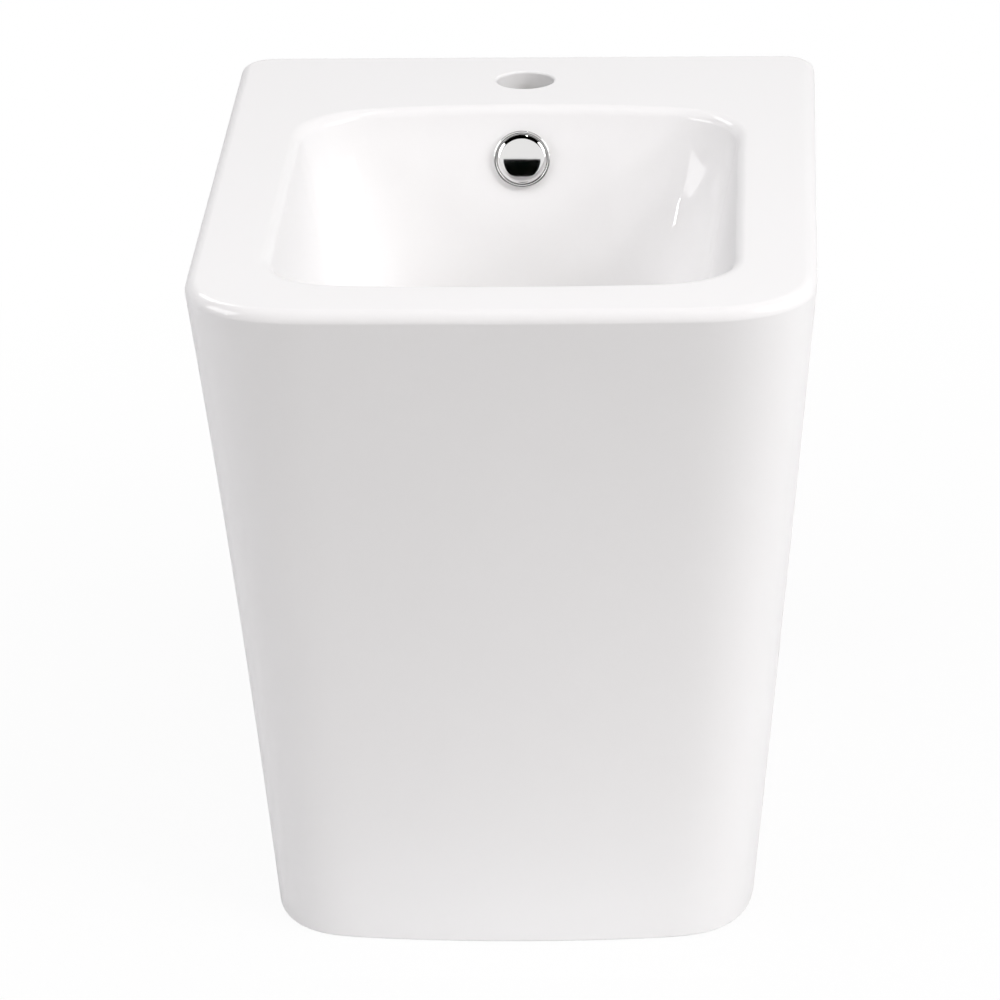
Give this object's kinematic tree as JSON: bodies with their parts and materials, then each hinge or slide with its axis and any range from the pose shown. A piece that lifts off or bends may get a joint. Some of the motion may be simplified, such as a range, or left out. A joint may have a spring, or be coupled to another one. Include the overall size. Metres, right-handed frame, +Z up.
{
  "type": "floor standing bidet",
  "caption": "Back-to-wall floor standing bidet in white glazed china: tapered rounded square pedestal and bowl, one tap hole, round chrome overflow, push plug waste and bottle trap.",
  "frame": {"origin": "middle of the footprint on the floor (bottom centre of the bounding box)", "axes": "+Z up, -Y towards the front and the user, +Y towards the wall, +X to the right seen from the front"},
  "size_m": [0.355, 0.48, 0.4],
  "materials": {
    "china": "white gloss glaze",
    "chrome": "polished chrome plate",
    "brass": "machined brass",
    "steel": "bright zinc plate",
    "rubber": "matt black rubber",
    "white_plastic": "moulded white polypropylene",
    "grey_plastic": "moulded grey nylon"
  },
  "bodies": {
    "bidet": {"ceramic_body": "china", "overflow_ring": "chrome", "overflow_cover": "chrome", "waste_body": "chrome", "waste_top_seal": "rubber", "waste_bottom_seal": "rubber", "waste_washer": "grey_plastic", "waste_nut": "brass", "plug_cartridge": "white_plastic", "cartridge_spring": "steel", "trap_inlet_nut": "white_plastic", "trap_inlet_washer": "rubber", "trap_inlet_pipe": "white_plastic", "trap_neck_nut": "white_plastic", "trap_neck_seal": "rubber", "trap_body": "white_plastic", "trap_cup": "white_plastic", "trap_cup_seal": "rubber", "trap_outlet_nut": "white_plastic", "trap_outlet_seal": "rubber", "trap_outlet_pipe": "white_plastic", "fixing_brackets": "steel", "fixing_sleeves": "grey_plastic", "fixing_screws": "steel", "fixing_caps": "chrome"},
    "plug": {"plug_cap": "chrome", "plug_seal": "rubber", "plug_stem": "chrome"}
  },
  "joints": [
    {"name": "plug_rise", "type": "slide", "parent": "bidet", "child": "plug", "axis": [0, 0, 1], "range_m": [0, 0.009], "deforming": ["cartridge_spring"]}
  ]
}
